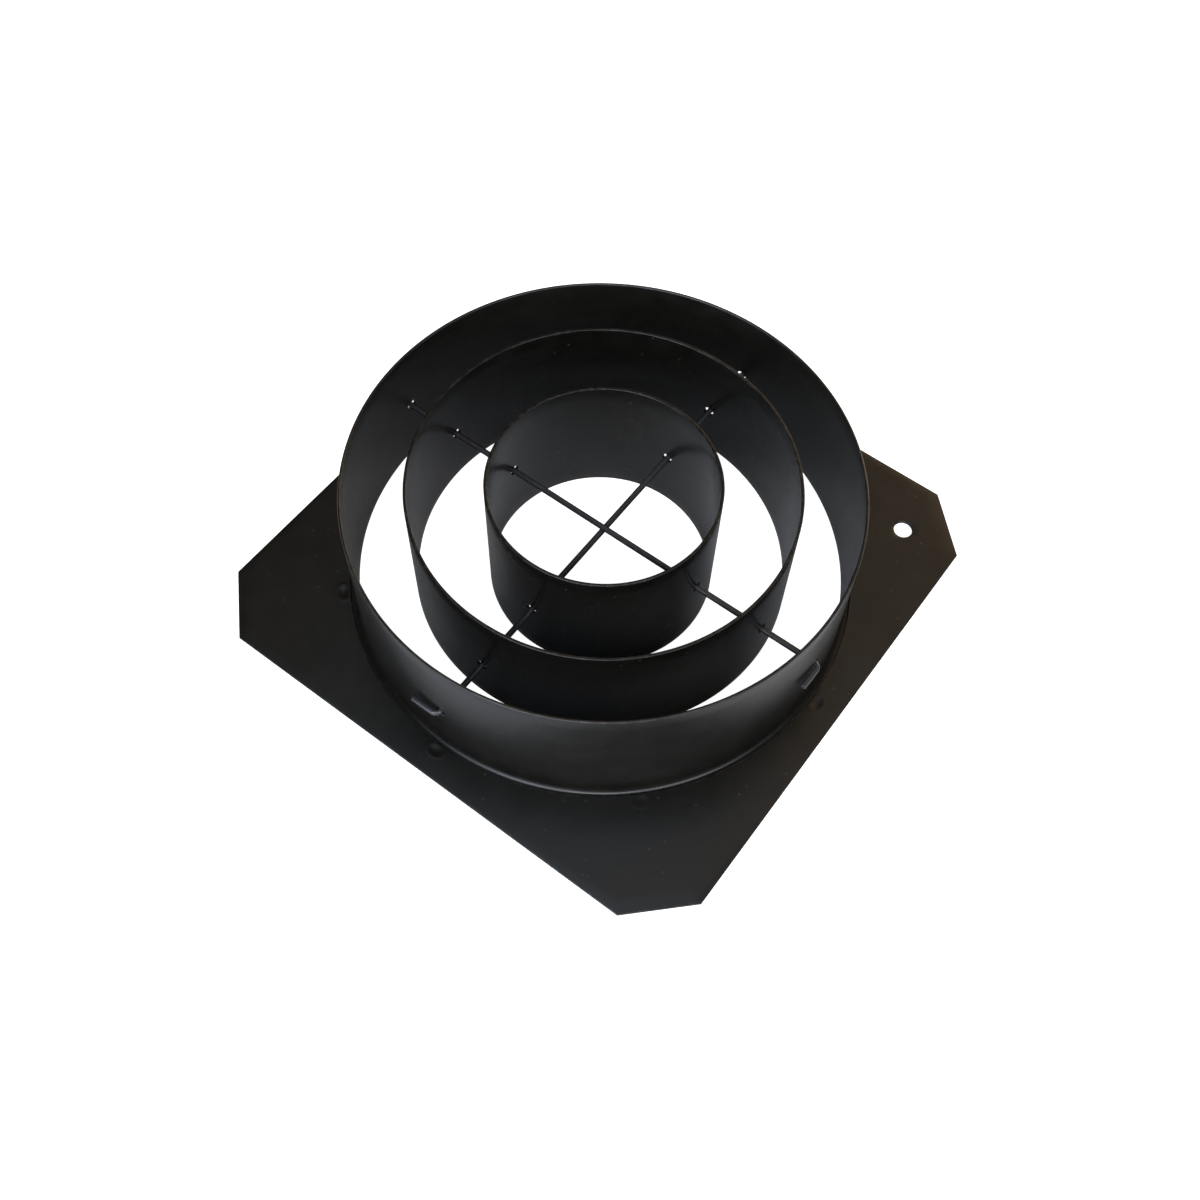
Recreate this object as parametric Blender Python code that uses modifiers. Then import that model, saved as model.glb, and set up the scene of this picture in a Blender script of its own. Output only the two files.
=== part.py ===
"""Concentric ring louvre on a square sheet-metal plate.

A clipped square plate carries an upright collar.  Two smaller rings stand inside the collar.
Two crossed rods run through holes in every ring wall, and their ends are bent along the collar.
Lengths are in metres.  +Z is the ring axis and z = 0 is the underside of the collar's foot flange.
"""
import math

import bmesh
import bpy

MM = 0.001

# Clearance left between two pieces that rest on each other.
GAP = 0.3 * MM

# Sheet metal shared by the plate, the collar and the rings.
SHEET = 1.0 * MM
EDGE_ROUND = 0.2 * MM
RIM_Z = 50.5 * MM

# Square plate.
PLATE_SIDE = 190.5 * MM
CORNER_CLIP = 18.0 * MM
PLATE_HOLE_RADIUS = 84.8 * MM
PLATE_FLOOR_Z = SHEET + GAP
CORNER_HOLE_RADIUS = 3.175 * MM
CORNER_HOLE_OFFSET = 75.0 * MM
CORNER_FACE_REACH = 96.0 * MM

# Spot-weld dimples pressed into the plate above the collar's foot flange.
WELD_COUNT = 8
WELD_CIRCLE_RADIUS = 87.0 * MM
WELD_TOP_RADIUS = 1.9 * MM
WELD_FLOOR_RADIUS = 1.3 * MM
WELD_DEPTH = 0.2 * MM

# Collar with an outward foot flange under the plate.
COLLAR_RADIUS = 82.55 * MM
FOOT_BEND = 2.0 * MM
FLANGE_RADIUS = 90.0 * MM

# Inner rings: outer radius and height of the lower edge.
MIDDLE_RADIUS = 62.5 * MM
MIDDLE_FOOT_Z = 4.2 * MM
INNER_RADIUS = 37.6 * MM
INNER_FOOT_Z = 0.7 * MM

# Crossed rods and the larger holes they rest in.
ROD_RADIUS = 1.0 * MM
ROD_HOLE_RADIUS = 1.75 * MM
ROD_DROP = 0.4 * MM
CROSSING_Z = 23.85 * MM
ROD_BEND = 2.0 * MM
ROD_END_REACH = 9.5 * MM

# Facets.
RING_STEPS = 120
ARC_STEPS = 3
FOOT_BEND_STEPS = 5
HOLE_STEPS = 24
ROD_BEND_STEPS = 6
ROD_BEVEL_RESOLUTION = 4

# Black paint of each kind of piece, linear colour with alpha.
PLATE_PAINT = (0.014, 0.0135, 0.013, 1.0)
RING_PAINT = (0.010, 0.010, 0.011, 1.0)
ROD_PAINT = (0.016, 0.016, 0.017, 1.0)


def clear_scene():
    """Start from an empty file."""
    for item in list(bpy.data.objects):
        bpy.data.objects.remove(item, do_unlink=True)


def make_collection(name):
    """Add a collection under the scene."""
    collection = bpy.data.collections.new(name)
    bpy.context.scene.collection.children.link(collection)
    return collection


def paint(name, color, roughness):
    """Make one painted-metal material."""
    material = bpy.data.materials.new(name)
    material.use_nodes = True
    shader = material.node_tree.nodes["Principled BSDF"]
    shader.inputs["Base Color"].default_value = color
    shader.inputs["Roughness"].default_value = roughness
    return material


def arc(center_r, center_z, radius, start, end, steps):
    """Points on an arc in the radius-height plane; angles in degrees from +radius."""
    points = []
    for step in range(steps + 1):
        angle = math.radians(start + (end - start) * step / steps)
        points.append((center_r + radius * math.cos(angle), center_z + radius * math.sin(angle)))
    return points


def ring_profile(outer, foot_z, rim_z):
    """Closed wall section with rounded edges, down the outside first."""
    inner = outer - SHEET
    e = EDGE_ROUND
    return (
        arc(outer - e, rim_z - e, e, 90, 0, ARC_STEPS)
        + arc(outer - e, foot_z + e, e, 0, -90, ARC_STEPS)
        + arc(inner + e, foot_z + e, e, -90, -180, ARC_STEPS)
        + arc(inner + e, rim_z - e, e, 180, 90, ARC_STEPS)
    )


def collar_profile():
    """Closed section of the collar: wall, foot bend and outward flange."""
    outer = COLLAR_RADIUS
    inner = outer - SHEET
    e = EDGE_ROUND
    bend_r = outer + FOOT_BEND
    bend_z = SHEET + FOOT_BEND
    return (
        arc(outer - e, RIM_Z - e, e, 90, 0, ARC_STEPS)
        + arc(bend_r, bend_z, FOOT_BEND, 180, 270, FOOT_BEND_STEPS)
        + arc(FLANGE_RADIUS - e, SHEET - e, e, 90, 0, ARC_STEPS)
        + arc(FLANGE_RADIUS - e, e, e, 0, -90, ARC_STEPS)
        + arc(bend_r, bend_z, FOOT_BEND + SHEET, 270, 180, FOOT_BEND_STEPS)
        + arc(inner + e, RIM_Z - e, e, 180, 90, ARC_STEPS)
    )


def revolve(name, profile, collection, material):
    """Turn a closed section once around the Z axis."""
    mesh = bpy.data.meshes.new(name)
    points = [(radius, 0.0, height) for radius, height in profile]
    edges = [(i, (i + 1) % len(points)) for i in range(len(points))]
    mesh.from_pydata(points, edges, [])
    mesh.materials.append(material)
    ring = bpy.data.objects.new(name, mesh)
    collection.objects.link(ring)
    screw = ring.modifiers.new("Turn", "SCREW")
    screw.axis = "Z"
    screw.steps = RING_STEPS
    screw.render_steps = RING_STEPS
    screw.use_merge_vertices = True
    screw.merge_threshold = 0.00001
    screw.use_smooth_shade = True
    return ring


def make_cutter(name, cutters):
    """Hide a helper solid that only removes material."""
    cutter = bpy.context.active_object
    cutter.name = name
    for collection in list(cutter.users_collection):
        collection.objects.unlink(cutter)
    cutters.objects.link(cutter)
    cutter.hide_render = True
    cutter.display_type = "WIRE"
    return cutter


def cylinder_cutter(name, cutters, radius, length, location, rotation=(0.0, 0.0, 0.0), steps=HOLE_STEPS):
    """Round bar used to cut a hole."""
    bpy.ops.mesh.primitive_cylinder_add(
        vertices=steps, radius=radius, depth=length, location=location, rotation=rotation)
    return make_cutter(name, cutters)


def cut(target, cutter):
    """Remove the cutter's volume from the target."""
    boolean = target.modifiers.new("Cut_" + cutter.name, "BOOLEAN")
    boolean.operation = "DIFFERENCE"
    boolean.solver = "EXACT"
    boolean.object = cutter


def make_plate(collection, cutters, material):
    """Flat plate with clipped corners, a centre opening, one corner hole and weld dimples."""
    shape = bmesh.new()
    bmesh.ops.create_cube(shape, size=1.0)
    bmesh.ops.scale(shape, vec=(PLATE_SIDE, PLATE_SIDE, SHEET), verts=shape.verts)
    corners = [edge for edge in shape.edges if abs(edge.verts[0].co.z - edge.verts[1].co.z) > SHEET / 2]
    bmesh.ops.bevel(shape, geom=corners, offset=CORNER_CLIP, segments=1, affect="EDGES")
    separate_corner_faces(shape)
    mesh = bpy.data.meshes.new("mounting_plate")
    shape.to_mesh(mesh)
    shape.free()
    mesh.materials.append(material)
    plate = bpy.data.objects.new("mounting_plate", mesh)
    plate.location = (0.0, 0.0, PLATE_FLOOR_Z + SHEET / 2)
    collection.objects.link(plate)
    bevel = plate.modifiers.new("Soft edges", "BEVEL")
    bevel.width = EDGE_ROUND
    bevel.segments = 2

    middle_z = PLATE_FLOOR_Z + SHEET / 2
    cutter_length = 6 * SHEET
    cut(plate, cylinder_cutter(
        "centre_opening", cutters, PLATE_HOLE_RADIUS, cutter_length, (0.0, 0.0, middle_z), steps=RING_STEPS))
    cut(plate, cylinder_cutter(
        "corner_hole", cutters, CORNER_HOLE_RADIUS, cutter_length,
        (CORNER_HOLE_OFFSET, -CORNER_HOLE_OFFSET, middle_z)))
    add_weld_dimples(plate, cutters)
    return plate


def separate_corner_faces(shape):
    """Add an edge across each corner, so that the corner's flat faces end clear of the foot flange."""
    for index in range(4):
        angle = math.radians(45.0 + 90.0 * index)
        direction = (math.cos(angle), math.sin(angle), 0.0)
        point = (CORNER_FACE_REACH * direction[0], CORNER_FACE_REACH * direction[1], 0.0)
        geometry = list(shape.verts) + list(shape.edges) + list(shape.faces)
        bmesh.ops.bisect_plane(shape, geom=geometry, plane_co=point, plane_no=direction)


def add_weld_dimples(plate, cutters):
    """Press a shallow round dimple into the plate at every spot weld."""
    slope = (WELD_TOP_RADIUS - WELD_FLOOR_RADIUS) / WELD_DEPTH
    overshoot = WELD_DEPTH
    for index in range(WELD_COUNT):
        angle = 2 * math.pi * index / WELD_COUNT
        bpy.ops.mesh.primitive_cone_add(
            vertices=HOLE_STEPS,
            radius1=WELD_FLOOR_RADIUS,
            radius2=WELD_TOP_RADIUS + slope * overshoot,
            depth=WELD_DEPTH + overshoot,
            location=(
                WELD_CIRCLE_RADIUS * math.cos(angle),
                WELD_CIRCLE_RADIUS * math.sin(angle),
                PLATE_FLOOR_Z + SHEET + (overshoot - WELD_DEPTH) / 2,
            ),
        )
        cut(plate, make_cutter("weld_dimple_%d" % index, cutters))


def rod_path():
    """Centre line of a rod along X, both ends bent clockwise seen from above."""
    leg_offset = COLLAR_RADIUS + GAP + ROD_RADIUS
    straight = leg_offset - ROD_BEND
    right_end = []
    for step in range(ROD_BEND_STEPS + 1):
        angle = math.radians(90.0 * step / ROD_BEND_STEPS)
        right_end.append((straight + ROD_BEND * math.sin(angle), -ROD_BEND * (1 - math.cos(angle))))
    right_end.append((leg_offset, -ROD_END_REACH))
    left_end = [(-x, -y) for x, y in reversed(right_end)]
    return left_end + right_end


def make_rod(name, collection, material, height, turn):
    """Round rod swept along its bent centre line."""
    curve = bpy.data.curves.new(name, "CURVE")
    curve.dimensions = "3D"
    curve.bevel_depth = ROD_RADIUS
    curve.bevel_resolution = ROD_BEVEL_RESOLUTION
    curve.use_fill_caps = True
    path = rod_path()
    spline = curve.splines.new("POLY")
    spline.points.add(len(path) - 1)
    for point, (x, y) in zip(spline.points, path):
        point.co = (x, y, 0.0, 1.0)
    spline.use_smooth = True
    curve.materials.append(material)
    rod = bpy.data.objects.new(name, curve)
    rod.location = (0.0, 0.0, height)
    rod.rotation_euler = (0.0, 0.0, turn)
    collection.objects.link(rod)
    return rod


def main():
    clear_scene()
    collection = make_collection("concentric_ring_louvre")
    cutters = make_collection("cutters")
    make_plate(collection, cutters, paint("plate_paint", PLATE_PAINT, 0.45))
    sections = {
        "collar": collar_profile(),
        "middle_ring": ring_profile(MIDDLE_RADIUS, MIDDLE_FOOT_Z, RIM_Z),
        "inner_ring": ring_profile(INNER_RADIUS, INNER_FOOT_Z, RIM_Z),
    }
    rings = []
    for name, section in sections.items():
        rings.append(revolve(name, section, collection, paint(name + "_paint", RING_PAINT, 0.35)))

    # The rods cross one on top of the other, so each has its own height.
    half_step = ROD_RADIUS + GAP / 2
    lower_z = CROSSING_Z - half_step
    upper_z = CROSSING_Z + half_step
    make_rod("lower_rod", collection, paint("lower_rod_paint", ROD_PAINT, 0.32), lower_z, 0.0)
    make_rod("upper_rod", collection, paint("upper_rod_paint", ROD_PAINT, 0.32), upper_z, math.pi / 2)

    # Each rod lies low in its holes.
    bar_length = 2 * FLANGE_RADIUS
    lower_holes = cylinder_cutter(
        "lower_rod_holes", cutters, ROD_HOLE_RADIUS, bar_length,
        (0.0, 0.0, lower_z + ROD_DROP), (0.0, math.pi / 2, 0.0))
    upper_holes = cylinder_cutter(
        "upper_rod_holes", cutters, ROD_HOLE_RADIUS, bar_length,
        (0.0, 0.0, upper_z + ROD_DROP), (math.pi / 2, 0.0, 0.0))
    for ring in rings:
        cut(ring, lower_holes)
        cut(ring, upper_holes)


main()
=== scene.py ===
"""Looks for the concentric ring louvre: satin black sheet metal on a pale studio floor.

Every visible piece is rebuilt finely at the CAD part's dimensions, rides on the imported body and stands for
one CAD node.  Lengths are in metres, +Z is the ring axis and z = 0 is the underside of the foot flange.
"""
import math

import bmesh
import bpy
from mathutils import Matrix, Vector

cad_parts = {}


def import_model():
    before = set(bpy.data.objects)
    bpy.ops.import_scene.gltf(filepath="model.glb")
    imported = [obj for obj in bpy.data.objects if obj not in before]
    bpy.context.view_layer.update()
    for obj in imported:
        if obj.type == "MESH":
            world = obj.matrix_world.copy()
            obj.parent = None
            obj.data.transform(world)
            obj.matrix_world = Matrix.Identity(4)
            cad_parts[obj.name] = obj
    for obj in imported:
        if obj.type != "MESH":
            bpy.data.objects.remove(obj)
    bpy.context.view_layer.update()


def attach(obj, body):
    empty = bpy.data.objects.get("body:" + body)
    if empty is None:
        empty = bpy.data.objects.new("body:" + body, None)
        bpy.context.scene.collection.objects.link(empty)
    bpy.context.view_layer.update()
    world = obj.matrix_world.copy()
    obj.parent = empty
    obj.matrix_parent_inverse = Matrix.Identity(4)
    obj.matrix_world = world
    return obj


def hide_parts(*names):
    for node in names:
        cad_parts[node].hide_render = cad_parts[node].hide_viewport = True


MM = 0.001
WHITE = (1.0, 1.0, 1.0, 1.0)
BLACK = (0.0, 0.0, 0.0, 1.0)
BODY = "root"

# Driving dimensions, the same as the CAD part's.
GAP = 0.3 * MM
SHEET = 1.0 * MM
EDGE_ROUND = 0.2 * MM
COLLAR_RIM_ROUND = 0.4 * MM
RIM_Z = 50.5 * MM
PLATE_HALF = 95.25 * MM
CORNER_CLIP = 18.0 * MM
PLATE_HOLE_RADIUS = 84.8 * MM
PLATE_FLOOR_Z = SHEET + GAP
PLATE_TOP_Z = PLATE_FLOOR_Z + SHEET
CORNER_HOLE_RADIUS = 3.175 * MM
CORNER_HOLE = (75.0 * MM, -75.0 * MM)
COLLAR_RADIUS = 82.55 * MM
FOOT_BEND = 2.0 * MM
FLANGE_RADIUS = 90.0 * MM
MIDDLE_RADIUS = 62.5 * MM
MIDDLE_FOOT_Z = 4.2 * MM
INNER_RADIUS = 37.6 * MM
INNER_FOOT_Z = 0.7 * MM
ROD_RADIUS = 1.0 * MM
ROD_HOLE_RADIUS = 1.75 * MM
ROD_DROP = 0.4 * MM
CROSSING_Z = 23.85 * MM
ROD_BEND = 2.0 * MM
ROD_END_REACH = 9.5 * MM
HALF_STEP = ROD_RADIUS + GAP / 2
LOWER_Z = CROSSING_Z - HALF_STEP
UPPER_Z = CROSSING_Z + HALF_STEP

# Spot-weld marks pressed into the plate above the flange.
WELD_COUNT = 8
WELD_CIRCLE_RADIUS = 87.1 * MM
WELD_HALF_WIDTH = 2.7 * MM
WELD_HALF_DEPTH = 1.9 * MM
WELD_SINK = 0.2 * MM
WELD_LIP = 0.06 * MM
WELD_LIP_MIDDLE = 1.15
WELD_LIP_WIDTH = 0.22
WELD_BAND_RADIUS = 90.5 * MM

# Paint: dark and light tones of the mottling, roughness, height of the slow waves, and offset of the noise.
PLATE_DARK = (0.0034, 0.0030, 0.0022)
PLATE_LIGHT = (0.0068, 0.0060, 0.0044)
PLATE_ROUGHNESS = 0.34
PLATE_WAVE = 0.25 * MM
PLATE_SEED = 0.31
RING_DARK = (0.0032, 0.0028, 0.0022)
RING_LIGHT = (0.0066, 0.0058, 0.0046)
COLLAR_TONE = 1.6
RING_TONE = 1.0
COLLAR_ROUGHNESS = 0.32
RING_ROUGHNESS = 0.25
RING_WAVE = 0.12 * MM
RING_SEED = 1.7
# Rod tones: dark paint lifted to a grey well above the rings' black; the lift is a painted sheen standing in
# for the bright highlight along the rods.
ROD_SHEEN_DARK = (0.027, 0.027, 0.0285)
ROD_SHEEN_LIGHT = (0.042, 0.042, 0.044)
ROD_ROUGHNESS = 0.22
ROD_WAVE = 0.02 * MM
ROD_SEED = 5.9
DUST = (0.10, 0.094, 0.085)
SCRATCH = (0.03, 0.03, 0.03)
WORN = (0.035, 0.034, 0.032)
DUST_SHARE = 0.35
SCRATCH_SHARE = 0.15
WORN_SHARE = 0.5
WEAR_REACH = 0.9 * MM
WEAR_FULL = 0.05 * MM
PEEL_HEIGHT = 0.006 * MM
GRAIN_HEIGHT = 0.004 * MM
PAINT_IOR = 1.5

# Sizes in the paint's pattern, in features per metre.
WAVE_SCALE = 12.0
BROAD_SCALE = 22.0
PATCH_SCALE = 130.0
DUST_SCALE = 260.0
WEAR_SCALE = 420.0
PEEL_SCALE = 620.0
GRAIN_SCALE = 1600.0

# Mesh fineness.
BLOCK = 8
BAND_HALF = 4.0 * MM
HOLE_LOOPS = 5
ROUND_STEPS = 4
BEND_STEPS = 12
WALL_ROWS = 4
WELD_ROWS = 16
WELD_SPREAD_DEG = 3.5
WELD_STEP_DEG = 0.25
PLAIN_STEP_DEG = 1.5
COLLAR_COLUMNS = 360
MIDDLE_COLUMNS = 288
INNER_COLUMNS = 240
PLATE_ROWS = 6
ROD_SIDES = 24
PUNCH_SIDES = 64

# Camera: its place, the directions of its right and up sides, its lens and its sensor width in millimetres.
CAMERA_LOCATION = (-206.58 * MM, -143.74 * MM, 412.47 * MM)
CAMERA_RIGHT = (0.59889, -0.80058, 0.02029)
CAMERA_UP = (0.68722, 0.52677, 0.50024)
CAMERA_LENS = 42.36
CAMERA_SENSOR = 36.0
CAMERA_CLIP = (0.01, 20.0)

# Room light, which is all the light there is.  Each soft glow has a direction in degrees (azimuth from +X,
# elevation), a spread in degrees, a strength and a tint.  The camera stands at azimuth 215.
ROOM_BASE = (0.01, 0.01, 0.01)
LAMP = (0.97, 1.00, 1.06)
SKY = (0.85, 1.00, 1.20)
AMBER = (1.40, 1.00, 0.60)
ROOM_GLOWS = (
    # three soft lamps behind the camera, the middle one nearly twice as strong
    (185.0, 45.0, 15.0, 7.0, LAMP),
    (215.0, 50.0, 12.0, 13.0, LAMP),
    (250.0, 45.0, 15.0, 7.0, LAMP),
    # low windows: two cool ones on the camera's side and a warm one on the +X side
    (180.0, 12.0, 36.0, 4.5, SKY),
    (270.0, 12.0, 36.0, 1.0, SKY),
    (0.0, 12.0, 36.0, 2.7, AMBER),
    # ceiling: cool overhead, warmer and dimmer toward the far side
    (35.0, 80.0, 15.0, 1.0, SKY),
    (85.0, 80.0, 15.0, 1.0, SKY),
    (0.0, 60.0, 20.0, 0.4, AMBER),
    (55.0, 60.0, 20.0, 0.1, AMBER),
)

# Floor: its size, its drop under the flange, its tone, and the extra brightness that only the camera sees.
FLOOR_SIDE = 6.0
FLOOR_DROP = 0.2 * MM
FLOOR_TONE = 0.80
FLOOR_ROUGHNESS = 0.9
FLOOR_LIFT = 1.0


# ---------------------------------------------------------------- shapes

def arc(center_r, center_z, radius, start, end, steps):
    """Points on an arc in the radius-height plane; angles in degrees from +radius."""
    points = []
    for step in range(steps + 1):
        angle = math.radians(start + (end - start) * step / steps)
        points.append((center_r + radius * math.cos(angle), center_z + radius * math.sin(angle)))
    return points


def lerp(first, second, share):
    """Value between two others."""
    return first + (second - first) * share


def polar(radius, theta, height):
    """Point from cylindrical coordinates."""
    return Vector((radius * math.cos(theta), radius * math.sin(theta), height))


def skin_loops(shape, loops):
    """Quads between neighbouring closed loops of the same length."""
    for first, second in zip(loops, loops[1:]):
        count = len(first)
        for i in range(count):
            j = (i + 1) % count
            shape.faces.new((first[i], first[j], second[j], second[i]))


def finish_piece(name, shape, material, node):
    """Turn a bmesh into a smooth piece that rides on the body and stands for a CAD node."""
    bmesh.ops.recalc_face_normals(shape, faces=shape.faces)
    mesh = bpy.data.meshes.new(name)
    shape.to_mesh(mesh)
    shape.free()
    mesh.materials.append(material)
    mesh.shade_smooth()
    piece = bpy.data.objects.new(name, mesh)
    bpy.context.scene.collection.objects.link(piece)
    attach(piece, BODY)
    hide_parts(node)
    return piece


# ---------------------------------------------------------------- rings

def hole_height(theta):
    """Middle of the band that holds the rod holes: low on the X axis and high on the Y axis."""
    return CROSSING_Z + ROD_DROP - HALF_STEP * math.cos(2 * theta)


def wall_side(radius, top, bottom, theta):
    """Points down one side of a wall, closer together where the rod holes are."""
    band_top = hole_height(theta) + BAND_HALF
    band_bottom = band_top - 2 * BAND_HALF
    heights = [lerp(top, band_top, i / WALL_ROWS) for i in range(WALL_ROWS)]
    heights += [lerp(band_top, band_bottom, i / BLOCK) for i in range(BLOCK)]
    heights += [lerp(band_bottom, bottom, i / WALL_ROWS) for i in range(WALL_ROWS + 1)]
    return [(radius, height) for height in heights]


def plain_foot(outer, foot_z):
    """Rounded lower edge, and the height where the straight wall ends."""
    e = EDGE_ROUND
    inner = outer - SHEET
    points = arc(outer - e, foot_z + e, e, 0, -90, ROUND_STEPS)[1:]
    points += arc(inner + e, foot_z + e, e, -90, -180, ROUND_STEPS)[:-1]
    return points, foot_z + e


def flanged_foot(outer):
    """Foot bend and outward flange, and the height where the straight wall ends."""
    e = EDGE_ROUND
    bend_r = outer + FOOT_BEND
    bend_z = SHEET + FOOT_BEND
    points = arc(bend_r, bend_z, FOOT_BEND, 180, 270, BEND_STEPS)[1:]
    points += arc(FLANGE_RADIUS - e, SHEET - e, e, 90, 0, ROUND_STEPS)
    points += arc(FLANGE_RADIUS - e, e, e, 0, -90, ROUND_STEPS)
    points += arc(bend_r, bend_z, FOOT_BEND + SHEET, 270, 180, BEND_STEPS)[:-1]
    return points, bend_z


def block_edge(cell):
    """Vertices round the square block of cells that a hole takes the place of."""
    top = [cell(0, j) for j in range(BLOCK)]
    right = [cell(i, BLOCK) for i in range(BLOCK)]
    bottom = [cell(BLOCK, BLOCK - j) for j in range(BLOCK)]
    left = [cell(BLOCK - i, 0) for i in range(BLOCK)]
    return top + right + bottom + left


def hole_side(shape, edge, wall_radius, inward, theta, center_z):
    """Loops from a block's edge to a round hole with a rounded lip; inward is the way into the metal."""
    e = EDGE_ROUND
    spots = []
    for vertex in edge:
        turn = math.atan2(vertex.co.y, vertex.co.x) - theta
        turn = (turn + math.pi) % (2 * math.pi) - math.pi
        spots.append((turn * wall_radius, vertex.co.z - center_z))
    half_width = max(across for across, _ in spots)
    angles = [math.atan2(up / BAND_HALF, across / half_width) for across, up in spots]

    loops = [edge]
    for step in range(1, HOLE_LOOPS + 1):
        share = step / HOLE_LOOPS
        loop = []
        for (across, up), angle in zip(spots, angles):
            y = lerp(across, (ROD_HOLE_RADIUS + e) * math.cos(angle), share)
            z = lerp(up, (ROD_HOLE_RADIUS + e) * math.sin(angle), share)
            loop.append(shape.verts.new(polar(wall_radius, theta + y / wall_radius, center_z + z)))
        loops.append(loop)
    for step in range(1, ROUND_STEPS + 1):
        turn = math.pi / 2 * step / ROUND_STEPS
        hole_radius = ROD_HOLE_RADIUS + e * (1 - math.sin(turn))
        radius = wall_radius + inward * e * (1 - math.cos(turn))
        loop = []
        for angle in angles:
            y = hole_radius * math.cos(angle)
            z = hole_radius * math.sin(angle)
            loop.append(shape.verts.new(polar(radius, theta + y / wall_radius, center_z + z)))
        loops.append(loop)
    skin_loops(shape, loops)
    return loops[-1]


def open_cells(columns, lefts, rows):
    """Cells left out of the wall's skin: a square block on each side of the wall for every rod hole."""
    cells = set()
    for left in lefts:
        for j in range(left, left + BLOCK):
            for row in rows:
                cells.update((j % columns, row + i) for i in range(BLOCK))
    return cells


def skin_wall(shape, grid, left_out):
    """Quads between neighbouring columns of a closed section, with some cells left out."""
    columns = len(grid)
    rows = len(grid[0])
    for j in range(columns):
        here, there = grid[j], grid[(j + 1) % columns]
        for i in range(rows):
            k = (i + 1) % rows
            if (j, i) not in left_out:
                shape.faces.new((here[i], here[k], there[k], there[i]))


def make_rod_hole(shape, grid, left, rows, outer):
    """Fill the open block on each side of the wall and join the two lips through the metal."""
    columns = len(grid)
    out_row, in_row = rows
    theta = 2 * math.pi * (left + BLOCK // 2) / columns
    middle = hole_height(theta)
    out_edge = block_edge(lambda i, j: grid[(left + j) % columns][out_row + i])
    in_edge = block_edge(lambda i, j: grid[(left + j) % columns][in_row + BLOCK - i])
    out_lip = hole_side(shape, out_edge, outer, -1, theta, middle)
    in_lip = hole_side(shape, in_edge, outer - SHEET, 1, theta, middle)
    skin_loops(shape, [out_lip, in_lip])


def make_ring(name, outer, rim_round, foot, columns, material, node):
    """Round sheet wall with rounded edges and four rod holes."""
    foot_points, wall_end = foot
    inner = outer - SHEET
    wall_top = RIM_Z - rim_round
    rim_out = arc(outer - rim_round, wall_top, rim_round, 90, 0, ROUND_STEPS)[:-1]
    rim_in = arc(inner + rim_round, wall_top, rim_round, 180, 90, ROUND_STEPS)[1:]
    shape = bmesh.new()
    grid = []
    for j in range(columns):
        theta = 2 * math.pi * j / columns
        outside = wall_side(outer, wall_top, wall_end, theta)
        inside = wall_side(inner, wall_top, wall_end, theta)[::-1]
        section = rim_out + outside + foot_points + inside + rim_in
        grid.append([shape.verts.new(polar(r, theta, z)) for r, z in section])

    out_row = len(rim_out) + WALL_ROWS
    rows = (out_row, out_row + len(outside) + len(foot_points))
    lefts = [columns * quarter // 4 - BLOCK // 2 for quarter in range(4)]
    skin_wall(shape, grid, open_cells(columns, lefts, rows))
    for left in lefts:
        make_rod_hole(shape, grid, left, rows, outer)
    finish_piece(name, shape, material, node)


# ---------------------------------------------------------------- plate

def outline(theta, inset):
    """Distance from the centre to the clipped square, moved in by inset."""
    c = abs(math.cos(theta))
    s = abs(math.sin(theta))
    side = (PLATE_HALF - inset) / max(c, s)
    clip = (2 * PLATE_HALF - CORNER_CLIP - inset * math.sqrt(2)) / (c + s)
    return min(side, clip)


def plate_angles():
    """Column angles: close together at the weld marks, and one at each corner of the outline."""
    pitch = 360.0 / WELD_COUNT
    fine = int(2 * WELD_SPREAD_DEG / WELD_STEP_DEG)
    plain = int((pitch - 2 * WELD_SPREAD_DEG) / PLAIN_STEP_DEG)
    angles = []
    for index in range(WELD_COUNT):
        start = index * pitch - WELD_SPREAD_DEG
        angles += [start + WELD_STEP_DEG * i for i in range(fine)]
        start += 2 * WELD_SPREAD_DEG
        angles += [lerp(start, start + pitch - 2 * WELD_SPREAD_DEG, i / plain) for i in range(plain)]
    corner = math.degrees(math.atan2(PLATE_HALF - CORNER_CLIP, PLATE_HALF))
    for quarter in range(4):
        for turn in (corner, 90.0 - corner):
            target = 90.0 * quarter + turn
            nearest = min(range(len(angles)), key=lambda i: abs(angles[i] - target))
            angles[nearest] = target
    return [math.radians(angle) for angle in angles]


def weld_relief(theta, radius):
    """Height of the plate's top skin above flat: a soft oval dimple with a low lip at each weld."""
    pitch = 2 * math.pi / WELD_COUNT
    turn = (theta + pitch / 2) % pitch - pitch / 2
    across = WELD_CIRCLE_RADIUS * turn / WELD_HALF_WIDTH
    along = (radius - WELD_CIRCLE_RADIUS) / WELD_HALF_DEPTH
    away = math.hypot(across, along)
    sink = WELD_SINK * (1 - away * away) ** 2 if away < 1 else 0.0
    lip = WELD_LIP * math.exp(-((away - WELD_LIP_MIDDLE) / WELD_LIP_WIDTH) ** 2)
    return lip - sink


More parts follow.
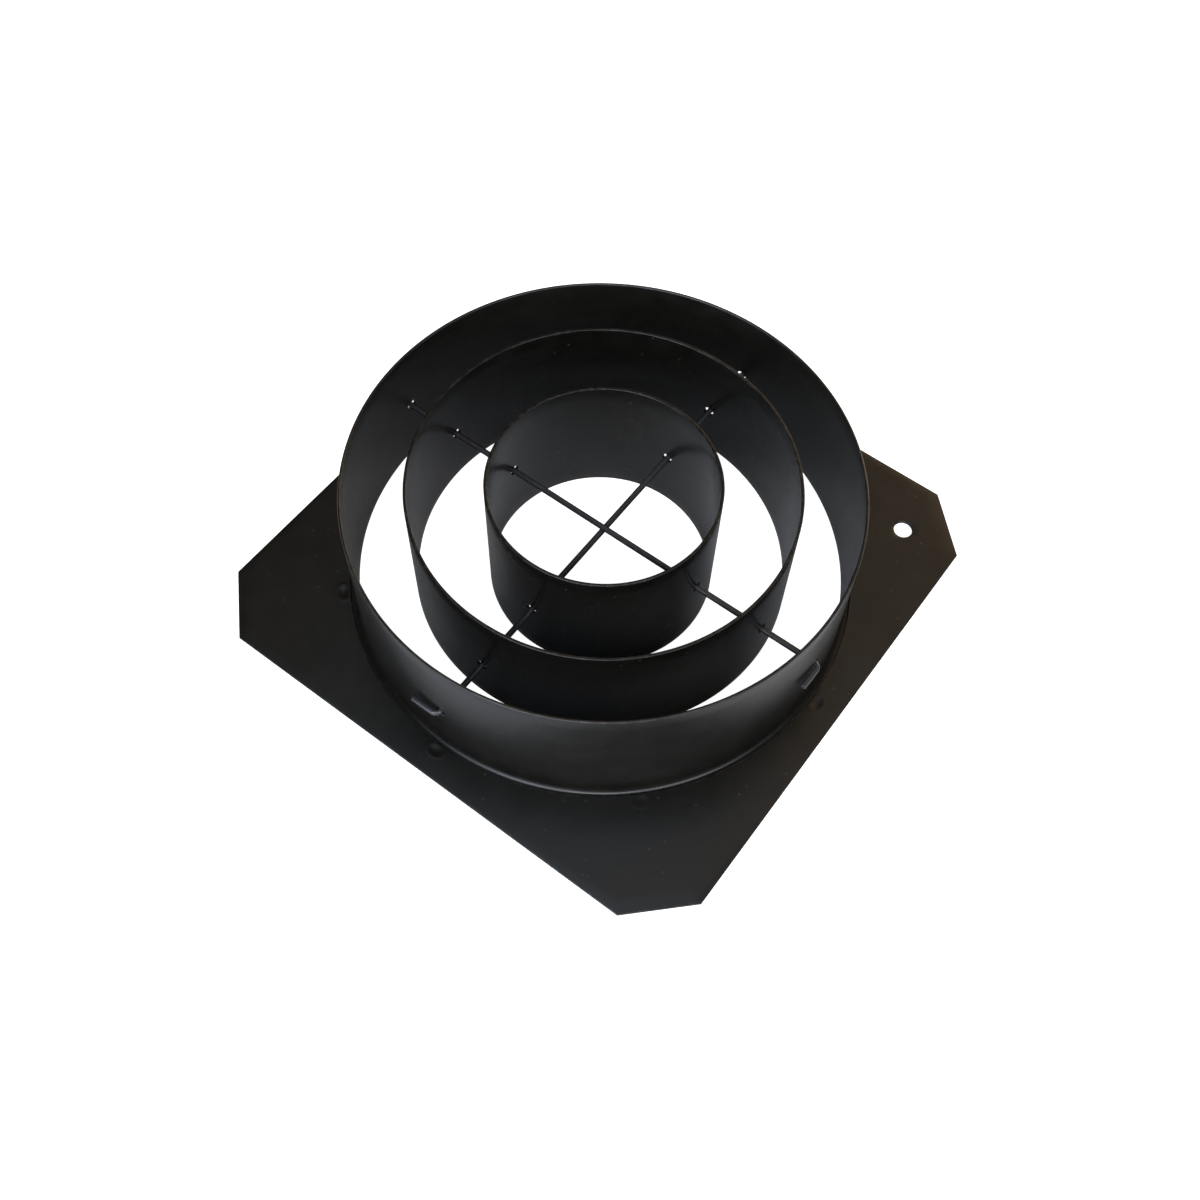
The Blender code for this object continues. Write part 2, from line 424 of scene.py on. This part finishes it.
def plate_section(theta):
    """Closed section of the plate along one ray from the centre, top skin first."""
    e = EDGE_ROUND
    hole = PLATE_HOLE_RADIUS
    points = arc(hole + e, PLATE_TOP_Z - e, e, 180, 90, ROUND_STEPS)[:-1]
    for i in range(WELD_ROWS + 1):
        radius = lerp(hole + e, WELD_BAND_RADIUS, i / WELD_ROWS)
        points.append((radius, PLATE_TOP_Z + weld_relief(theta, radius)))
    edge = outline(theta, e)
    for i in range(1, PLATE_ROWS):
        points.append((lerp(WELD_BAND_RADIUS, edge, i / PLATE_ROWS), PLATE_TOP_Z))
    rounding = []
    for i in range(ROUND_STEPS + 1):
        turn = math.pi / 2 * i / ROUND_STEPS
        rounding.append((outline(theta, e * (1 - math.sin(turn))), e * (1 - math.cos(turn))))
    points += [(radius, PLATE_TOP_Z - depth) for radius, depth in rounding]
    points += [(radius, PLATE_FLOOR_Z + depth) for radius, depth in rounding[::-1]]
    for i in range(1, PLATE_ROWS):
        points.append((lerp(edge, hole + e, i / PLATE_ROWS), PLATE_FLOOR_Z))
    points += arc(hole + e, PLATE_FLOOR_Z + e, e, 270, 180, ROUND_STEPS)
    return points


def make_plate(material):
    """Clipped square sheet with a centre opening, weld marks and one punched corner hole."""
    shape = bmesh.new()
    loops = []
    for theta in plate_angles():
        loops.append([shape.verts.new(polar(r, theta, z)) for r, z in plate_section(theta)])
    skin_loops(shape, loops + loops[:1])
    punch(finish_piece("plate_sheet", shape, material, "mounting_plate"))


def make_punch():
    """Round tool with a waist, which leaves rounded lips on both faces of the plate."""
    e = EDGE_ROUND
    upper = arc(CORNER_HOLE_RADIUS + e, PLATE_TOP_Z - e, e, 180, 90, ROUND_STEPS)[:-1]
    lower = arc(CORNER_HOLE_RADIUS + e, PLATE_FLOOR_Z + e, e, 270, 180, ROUND_STEPS)[1:]
    flare = 4 * e
    section = [(CORNER_HOLE_RADIUS + flare, PLATE_FLOOR_Z - e)] + lower + upper
    section += [(CORNER_HOLE_RADIUS + flare, PLATE_TOP_Z + e)]
    shape = bmesh.new()
    loops = []
    for radius, height in section:
        loop = []
        for i in range(PUNCH_SIDES):
            point = polar(radius, 2 * math.pi * i / PUNCH_SIDES, height)
            loop.append(shape.verts.new(point + Vector((*CORNER_HOLE, 0.0))))
        loops.append(loop)
    skin_loops(shape, loops)
    shape.faces.new(loops[0])
    shape.faces.new(loops[-1])
    bmesh.ops.recalc_face_normals(shape, faces=shape.faces)
    mesh = bpy.data.meshes.new("punch")
    shape.to_mesh(mesh)
    shape.free()
    tool = bpy.data.objects.new("punch", mesh)
    bpy.context.scene.collection.objects.link(tool)
    return tool


def punch(plate):
    """Cut the corner hole."""
    tool = make_punch()
    cut = plate.modifiers.new("Punch", "BOOLEAN")
    cut.operation = "DIFFERENCE"
    cut.solver = "EXACT"
    cut.object = tool
    graph = bpy.context.evaluated_depsgraph_get()
    punched = bpy.data.meshes.new_from_object(plate.evaluated_get(graph))
    plate.modifiers.remove(cut)
    plate.data = punched
    bpy.data.objects.remove(tool)


# ---------------------------------------------------------------- rods

def rod_path():
    """Centre line of a rod along X, both ends bent clockwise seen from above."""
    leg = COLLAR_RADIUS + GAP + ROD_RADIUS
    straight = leg - ROD_BEND
    right = []
    for step in range(BEND_STEPS + 1):
        angle = math.pi / 2 * step / BEND_STEPS
        right.append((straight + ROD_BEND * math.sin(angle), -ROD_BEND * (1 - math.cos(angle))))
    right.append((leg, -ROD_END_REACH))
    left = [(-x, -y) for x, y in reversed(right)]
    return left + right


def rod_stations():
    """Centre, direction and radius at each step along a rod, with rounded cut ends."""
    path = [Vector((x, y, 0.0)) for x, y in rod_path()]
    stations = []
    for index, point in enumerate(path):
        before = path[max(index - 1, 0)]
        after = path[min(index + 1, len(path) - 1)]
        stations.append((point, (after - before).normalized(), ROD_RADIUS))
    start, first_way, _ = stations[0]
    end, last_way, _ = stations[-1]
    cap = []
    for i in range(ROUND_STEPS + 1):
        angle = math.pi / 2 * i / ROUND_STEPS
        cap.append((EDGE_ROUND * (1 - math.sin(angle)), ROD_RADIUS - EDGE_ROUND * (1 - math.cos(angle))))
    head = [(start + first_way * back, first_way, radius) for back, radius in reversed(cap)]
    tail = [(end - last_way * back, last_way, radius) for back, radius in cap]
    return head + stations[1:-1] + tail


def make_rod(name, height, turn, material, node):
    """Round rod swept along its bent centre line."""
    place = Matrix.Translation((0.0, 0.0, height)) @ Matrix.Rotation(turn, 4, "Z")
    up = Vector((0.0, 0.0, 1.0))
    shape = bmesh.new()
    loops = []
    for point, way, radius in rod_stations():
        side = up.cross(way)
        loop = []
        for i in range(ROD_SIDES):
            angle = 2 * math.pi * i / ROD_SIDES
            offset = side * (radius * math.cos(angle)) + up * (radius * math.sin(angle))
            loop.append(shape.verts.new(place @ (point + offset)))
        loops.append(loop)
    skin_loops(shape, loops)
    shape.faces.new(loops[0])
    shape.faces.new(loops[-1])
    finish_piece(name, shape, material, node)


# ---------------------------------------------------------------- materials

def add(tree, kind, inputs=None, **settings):
    """Add a shader node; each input is a socket to link or a plain value."""
    made = tree.nodes.new("ShaderNode" + kind)
    for key, value in settings.items():
        setattr(made, key, value)
    for key, value in (inputs or {}).items():
        if isinstance(value, bpy.types.NodeSocket):
            tree.links.new(value, made.inputs[key])
        else:
            made.inputs[key].default_value = value
    return made


def calc(tree, operation, first, second=0.0):
    """One Math node."""
    return add(tree, "Math", {0: first, 1: second}, operation=operation).outputs[0]


def remap(tree, value, low, high):
    """Smooth clamped rise from 0 at low to 1 at high."""
    made = add(tree, "MapRange", {"Value": value, "From Min": low, "From Max": high},
               interpolation_type="SMOOTHSTEP")
    return made.outputs[0]


def add_vectors(tree, first, second):
    """Sum of two vectors or colours."""
    return add(tree, "VectorMath", {0: first, 1: second}, operation="ADD").outputs[0]


def opaque(color):
    """Colour with full alpha."""
    return (*color, 1.0)


def cloud(tree, place, scale, detail=3.0):
    """Noise value; scale is in features per metre."""
    made = add(tree, "TexNoise", {"Vector": place, "Scale": scale, "Detail": detail})
    return made.outputs[0]


def blend(tree, factor, first, second):
    """Colour between two others."""
    made = add(tree, "Mix", data_type="RGBA")
    for index, value in ((0, factor), (6, first), (7, second)):
        if isinstance(value, bpy.types.NodeSocket):
            tree.links.new(value, made.inputs[index])
        else:
            made.inputs[index].default_value = value
    return made.outputs[2]


def smallest(tree, values):
    """Least of several values."""
    least = values[0]
    for value in values[1:]:
        least = calc(tree, "MINIMUM", least, value)
    return least


def reach(tree, first, second):
    """Length of a two-part offset."""
    return calc(tree, "SQRT", calc(tree, "ADD", calc(tree, "MULTIPLY", first, first),
                                   calc(tree, "MULTIPLY", second, second)))


def plate_edge_distance(tree, x, y, _z):
    """Distance on the plate from its outline, its centre opening and its corner hole."""
    wide = calc(tree, "ABSOLUTE", x)
    deep = calc(tree, "ABSOLUTE", y)
    side = calc(tree, "SUBTRACT", PLATE_HALF, calc(tree, "MAXIMUM", wide, deep))
    clip = calc(tree, "SUBTRACT", 2 * PLATE_HALF - CORNER_CLIP, calc(tree, "ADD", wide, deep))
    opening = calc(tree, "SUBTRACT", reach(tree, x, y), PLATE_HOLE_RADIUS)
    hole_x = calc(tree, "SUBTRACT", x, CORNER_HOLE[0])
    hole_y = calc(tree, "SUBTRACT", y, CORNER_HOLE[1])
    hole = calc(tree, "SUBTRACT", reach(tree, hole_x, hole_y), CORNER_HOLE_RADIUS)
    return smallest(tree, [side, calc(tree, "DIVIDE", clip, math.sqrt(2)), opening, hole])


def ring_edge_distance(foot_z):
    """Measure of the distance on a ring wall from its rim, its foot and its rod holes."""
    def distance(tree, x, y, z):
        rim = calc(tree, "SUBTRACT", RIM_Z, z)
        foot = calc(tree, "SUBTRACT", z, foot_z)
        low = reach(tree, y, calc(tree, "SUBTRACT", z, LOWER_Z + ROD_DROP))
        high = reach(tree, x, calc(tree, "SUBTRACT", z, UPPER_Z + ROD_DROP))
        hole = calc(tree, "SUBTRACT", calc(tree, "MINIMUM", low, high), ROD_HOLE_RADIUS)
        return smallest(tree, [rim, foot, hole])
    return distance


def rod_edge_distance(tree, x, y, _z):
    """Distance along a rod from the ring walls that it rubs on and from the crossing."""
    out = reach(tree, x, y)
    rubs = [calc(tree, "ABSOLUTE", calc(tree, "SUBTRACT", out, radius - SHEET / 2))
            for radius in (INNER_RADIUS, MIDDLE_RADIUS, COLLAR_RADIUS)]
    return smallest(tree, rubs + [out])


def weighted(tree, start, *terms):
    """Start value plus each value times its weight."""
    total = start
    for value, weight in terms:
        total = calc(tree, "ADD", total, calc(tree, "MULTIPLY", value, weight))
    return total


def streaks(tree, x, y, z):
    """Noise drawn out round a wall or along the plate, as rolling and spraying leave it."""
    drawn = add(tree, "CombineXYZ", {
        0: calc(tree, "MULTIPLY", calc(tree, "ARCTAN2", y, x), 0.35),
        1: calc(tree, "MULTIPLY", z, 30.0),
        2: calc(tree, "MULTIPLY", reach(tree, x, y), 30.0)})
    return cloud(tree, drawn.outputs[0], 14.0, 4.0)


def pale_dust(tree, place):
    """How much dust shows: one small speck in a few of the cells."""
    cells = add(tree, "TexVoronoi", {"Vector": place, "Scale": DUST_SCALE, "Randomness": 1.0})
    lot = add(tree, "SeparateColor", {0: cells.outputs["Color"]}).outputs[0]
    speck = remap(tree, cells.outputs["Distance"], 0.11, 0.05)
    return calc(tree, "MULTIPLY", speck, remap(tree, lot, 0.55, 0.6))


def hair_scratches(tree, place, patch):
    """How much scratch shows: noise drawn out into hairs and kept to a few patches."""
    slant = add(tree, "Mapping", {
        "Vector": place, "Rotation": (0.0, 0.0, 0.6), "Scale": (8.0, 520.0, 520.0)})
    hair = remap(tree, cloud(tree, slant.outputs[0], 3.0, 1.0), 0.70, 0.74)
    return calc(tree, "MULTIPLY", hair, remap(tree, patch, 0.5, 0.62))


def edge_wear(tree, place, edge_distance):
    """How thin and rubbed the paint is: most at an edge, and broken up by noise."""
    near = remap(tree, edge_distance, WEAR_REACH, WEAR_FULL)
    return calc(tree, "MULTIPLY", near, remap(tree, cloud(tree, place, WEAR_SCALE, 4.0), 0.42, 0.66))


def bump(tree, height, distance, normal=None):
    """Surface relief of a given full height in metres, over another relief if there is one."""
    inputs = {"Height": height, "Strength": 1.0, "Distance": distance}
    if normal is not None:
        inputs["Normal"] = normal
    return add(tree, "Bump", inputs).outputs[0]


def satin_paint(name, seed, measure_edge, dark, light, roughness, wave):
    """Satin black paint: soft mottling, fine grain, dust, hair scratches, and wear close to an edge."""
    material = bpy.data.materials.new(name)
    material.use_nodes = True
    tree = material.node_tree
    shader = tree.nodes["Principled BSDF"]
    place = add(tree, "TexCoord").outputs["Object"]
    x, y, z = add(tree, "SeparateXYZ", {0: place}).outputs
    shifted = add_vectors(tree, place, (seed, 2.3 * seed, 3.1 * seed))

    broad = cloud(tree, shifted, BROAD_SCALE)
    patch = cloud(tree, shifted, PATCH_SCALE, 4.0)
    speck = pale_dust(tree, shifted)
    hair = hair_scratches(tree, shifted, patch)
    worn = edge_wear(tree, shifted, measure_edge(tree, x, y, z))

    mottle = weighted(tree, 0.0, (broad, 0.45), (patch, 0.35), (streaks(tree, x, y, z), 0.2))
    color = blend(tree, remap(tree, mottle, 0.36, 0.66), opaque(dark), opaque(light))
    for amount, share, mark in ((speck, DUST_SHARE, DUST), (hair, SCRATCH_SHARE, SCRATCH),
                                (worn, WORN_SHARE, WORN)):
        color = blend(tree, calc(tree, "MULTIPLY", amount, share), color, opaque(mark))
    tree.links.new(color, shader.inputs["Base Color"])

    gloss = weighted(tree, roughness - 0.07, (broad, 0.08), (patch, 0.07), (speck, 0.2), (worn, -0.06))
    tree.links.new(gloss, shader.inputs["Roughness"])

    normal = bump(tree, cloud(tree, shifted, WAVE_SCALE, 1.0), wave)
    normal = bump(tree, cloud(tree, shifted, PEEL_SCALE, 1.0), PEEL_HEIGHT, normal)
    normal = bump(tree, cloud(tree, shifted, GRAIN_SCALE, 2.0), GRAIN_HEIGHT, normal)
    tree.links.new(normal, shader.inputs["Normal"])
    shader.inputs["IOR"].default_value = PAINT_IOR
    return material


# ---------------------------------------------------------------- studio

def make_floor():
    """Plain pale floor: plain white to the camera, and as bright as the room lights it to the paint."""
    bpy.ops.mesh.primitive_plane_add(size=FLOOR_SIDE, location=(0.0, 0.0, -FLOOR_DROP))
    floor = bpy.context.active_object
    floor.name = "floor"
    material = bpy.data.materials.new("floor_white")
    material.use_nodes = True
    tree = material.node_tree
    shader = tree.nodes["Principled BSDF"]
    shader.inputs["Base Color"].default_value = opaque((FLOOR_TONE, FLOOR_TONE, FLOOR_TONE))
    shader.inputs["Roughness"].default_value = FLOOR_ROUGHNESS
    shader.inputs["Specular IOR Level"].default_value = 0.0
    shader.inputs["Emission Color"].default_value = WHITE
    seen = add(tree, "LightPath").outputs["Is Camera Ray"]
    tree.links.new(calc(tree, "MULTIPLY", seen, FLOOR_LIFT), shader.inputs["Emission Strength"])
    floor.data.materials.append(material)


def make_world():
    """Plain white backdrop for the camera, and a soft uneven room that lights and shows in the paint."""
    world = bpy.data.worlds.new("room")
    bpy.context.scene.world = world
    world.use_nodes = True
    tree = world.node_tree
    way = add(tree, "TexCoord").outputs["Generated"]
    room = None
    for azimuth, elevation, spread, strength, tint in ROOM_GLOWS:
        up = math.radians(elevation)
        middle = polar(math.cos(up), math.radians(azimuth), math.sin(up))
        facing = add(tree, "VectorMath", {0: way, 1: tuple(middle)}, operation="DOT_PRODUCT")
        share = remap(tree, facing.outputs["Value"], math.cos(math.radians(spread)), 1.0)
        glow = blend(tree, share, BLACK, opaque([strength * part for part in tint]))
        if room is None:
            room = glow
        else:
            room = add_vectors(tree, room, glow)
    room = add_vectors(tree, room, ROOM_BASE)
    seen = add(tree, "LightPath").outputs["Is Camera Ray"]
    shown = blend(tree, seen, room, WHITE)
    tree.links.new(shown, tree.nodes["Background"].inputs["Color"])


def make_camera():
    """Camera above the part, looking down across it."""
    data = bpy.data.cameras.new("camera")
    data.lens = CAMERA_LENS
    data.sensor_width = CAMERA_SENSOR
    data.clip_start, data.clip_end = CAMERA_CLIP
    camera = bpy.data.objects.new("camera", data)
    right = Vector(CAMERA_RIGHT).normalized()
    up = Vector(CAMERA_UP).normalized()
    back = right.cross(up)
    turn = Matrix((right, up, back)).transposed()
    camera.matrix_world = Matrix.Translation(CAMERA_LOCATION) @ turn.to_4x4()
    bpy.context.scene.collection.objects.link(camera)
    bpy.context.scene.camera = camera


# ---------------------------------------------------------------- build

def make_rings():
    """The collar and the two rings inside it."""
    rings = (
        # name, outside radius, rim rounding, foot, columns, CAD node, foot height, roughness, paint tone
        ("collar_shell", COLLAR_RADIUS, COLLAR_RIM_ROUND, flanged_foot(COLLAR_RADIUS), COLLAR_COLUMNS,
         "collar", 0.0, COLLAR_ROUGHNESS, COLLAR_TONE),
        ("middle_ring_strip", MIDDLE_RADIUS, EDGE_ROUND, plain_foot(MIDDLE_RADIUS, MIDDLE_FOOT_Z),
         MIDDLE_COLUMNS, "middle_ring", MIDDLE_FOOT_Z, RING_ROUGHNESS, RING_TONE),
        ("inner_ring_strip", INNER_RADIUS, EDGE_ROUND, plain_foot(INNER_RADIUS, INNER_FOOT_Z),
         INNER_COLUMNS, "inner_ring", INNER_FOOT_Z, RING_ROUGHNESS, RING_TONE),
    )
    for index, (name, outer, rim_round, foot, columns, node, foot_z, roughness, tone) in enumerate(rings):
        dark = [tone * part for part in RING_DARK]
        light = [tone * part for part in RING_LIGHT]
        paint = satin_paint(
            name + "_black", RING_SEED + index, ring_edge_distance(foot_z),
            dark, light, roughness, RING_WAVE)
        make_ring(name, outer, rim_round, foot, columns, paint, node)


def make_rods():
    """The lower rod along X, and the upper one turned to lie along Y."""
    rods = (
        # name, height, turn, CAD node
        ("lower_rod_wire", LOWER_Z, 0.0, "lower_rod"),
        ("upper_rod_wire", UPPER_Z, math.pi / 2, "upper_rod"),
    )
    for index, (name, height, turn, node) in enumerate(rods):
        # The rods' paint tones are lifted to a grey: a painted sheen for the highlight along them.
        paint = satin_paint(
            name + "_black", ROD_SEED + index, rod_edge_distance,
            ROD_SHEEN_DARK, ROD_SHEEN_LIGHT, ROD_ROUGHNESS, ROD_WAVE)
        make_rod(name, height, turn, paint, node)


def main():
    """Load the frame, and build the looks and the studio."""
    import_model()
    bpy.context.scene.view_settings.view_transform = "Standard"
    make_camera()
    plate_paint = satin_paint(
        "plate_paint_black", PLATE_SEED, plate_edge_distance,
        PLATE_DARK, PLATE_LIGHT, PLATE_ROUGHNESS, PLATE_WAVE)
    make_plate(plate_paint)
    make_rings()
    make_rods()
    make_floor()
    make_world()


main()
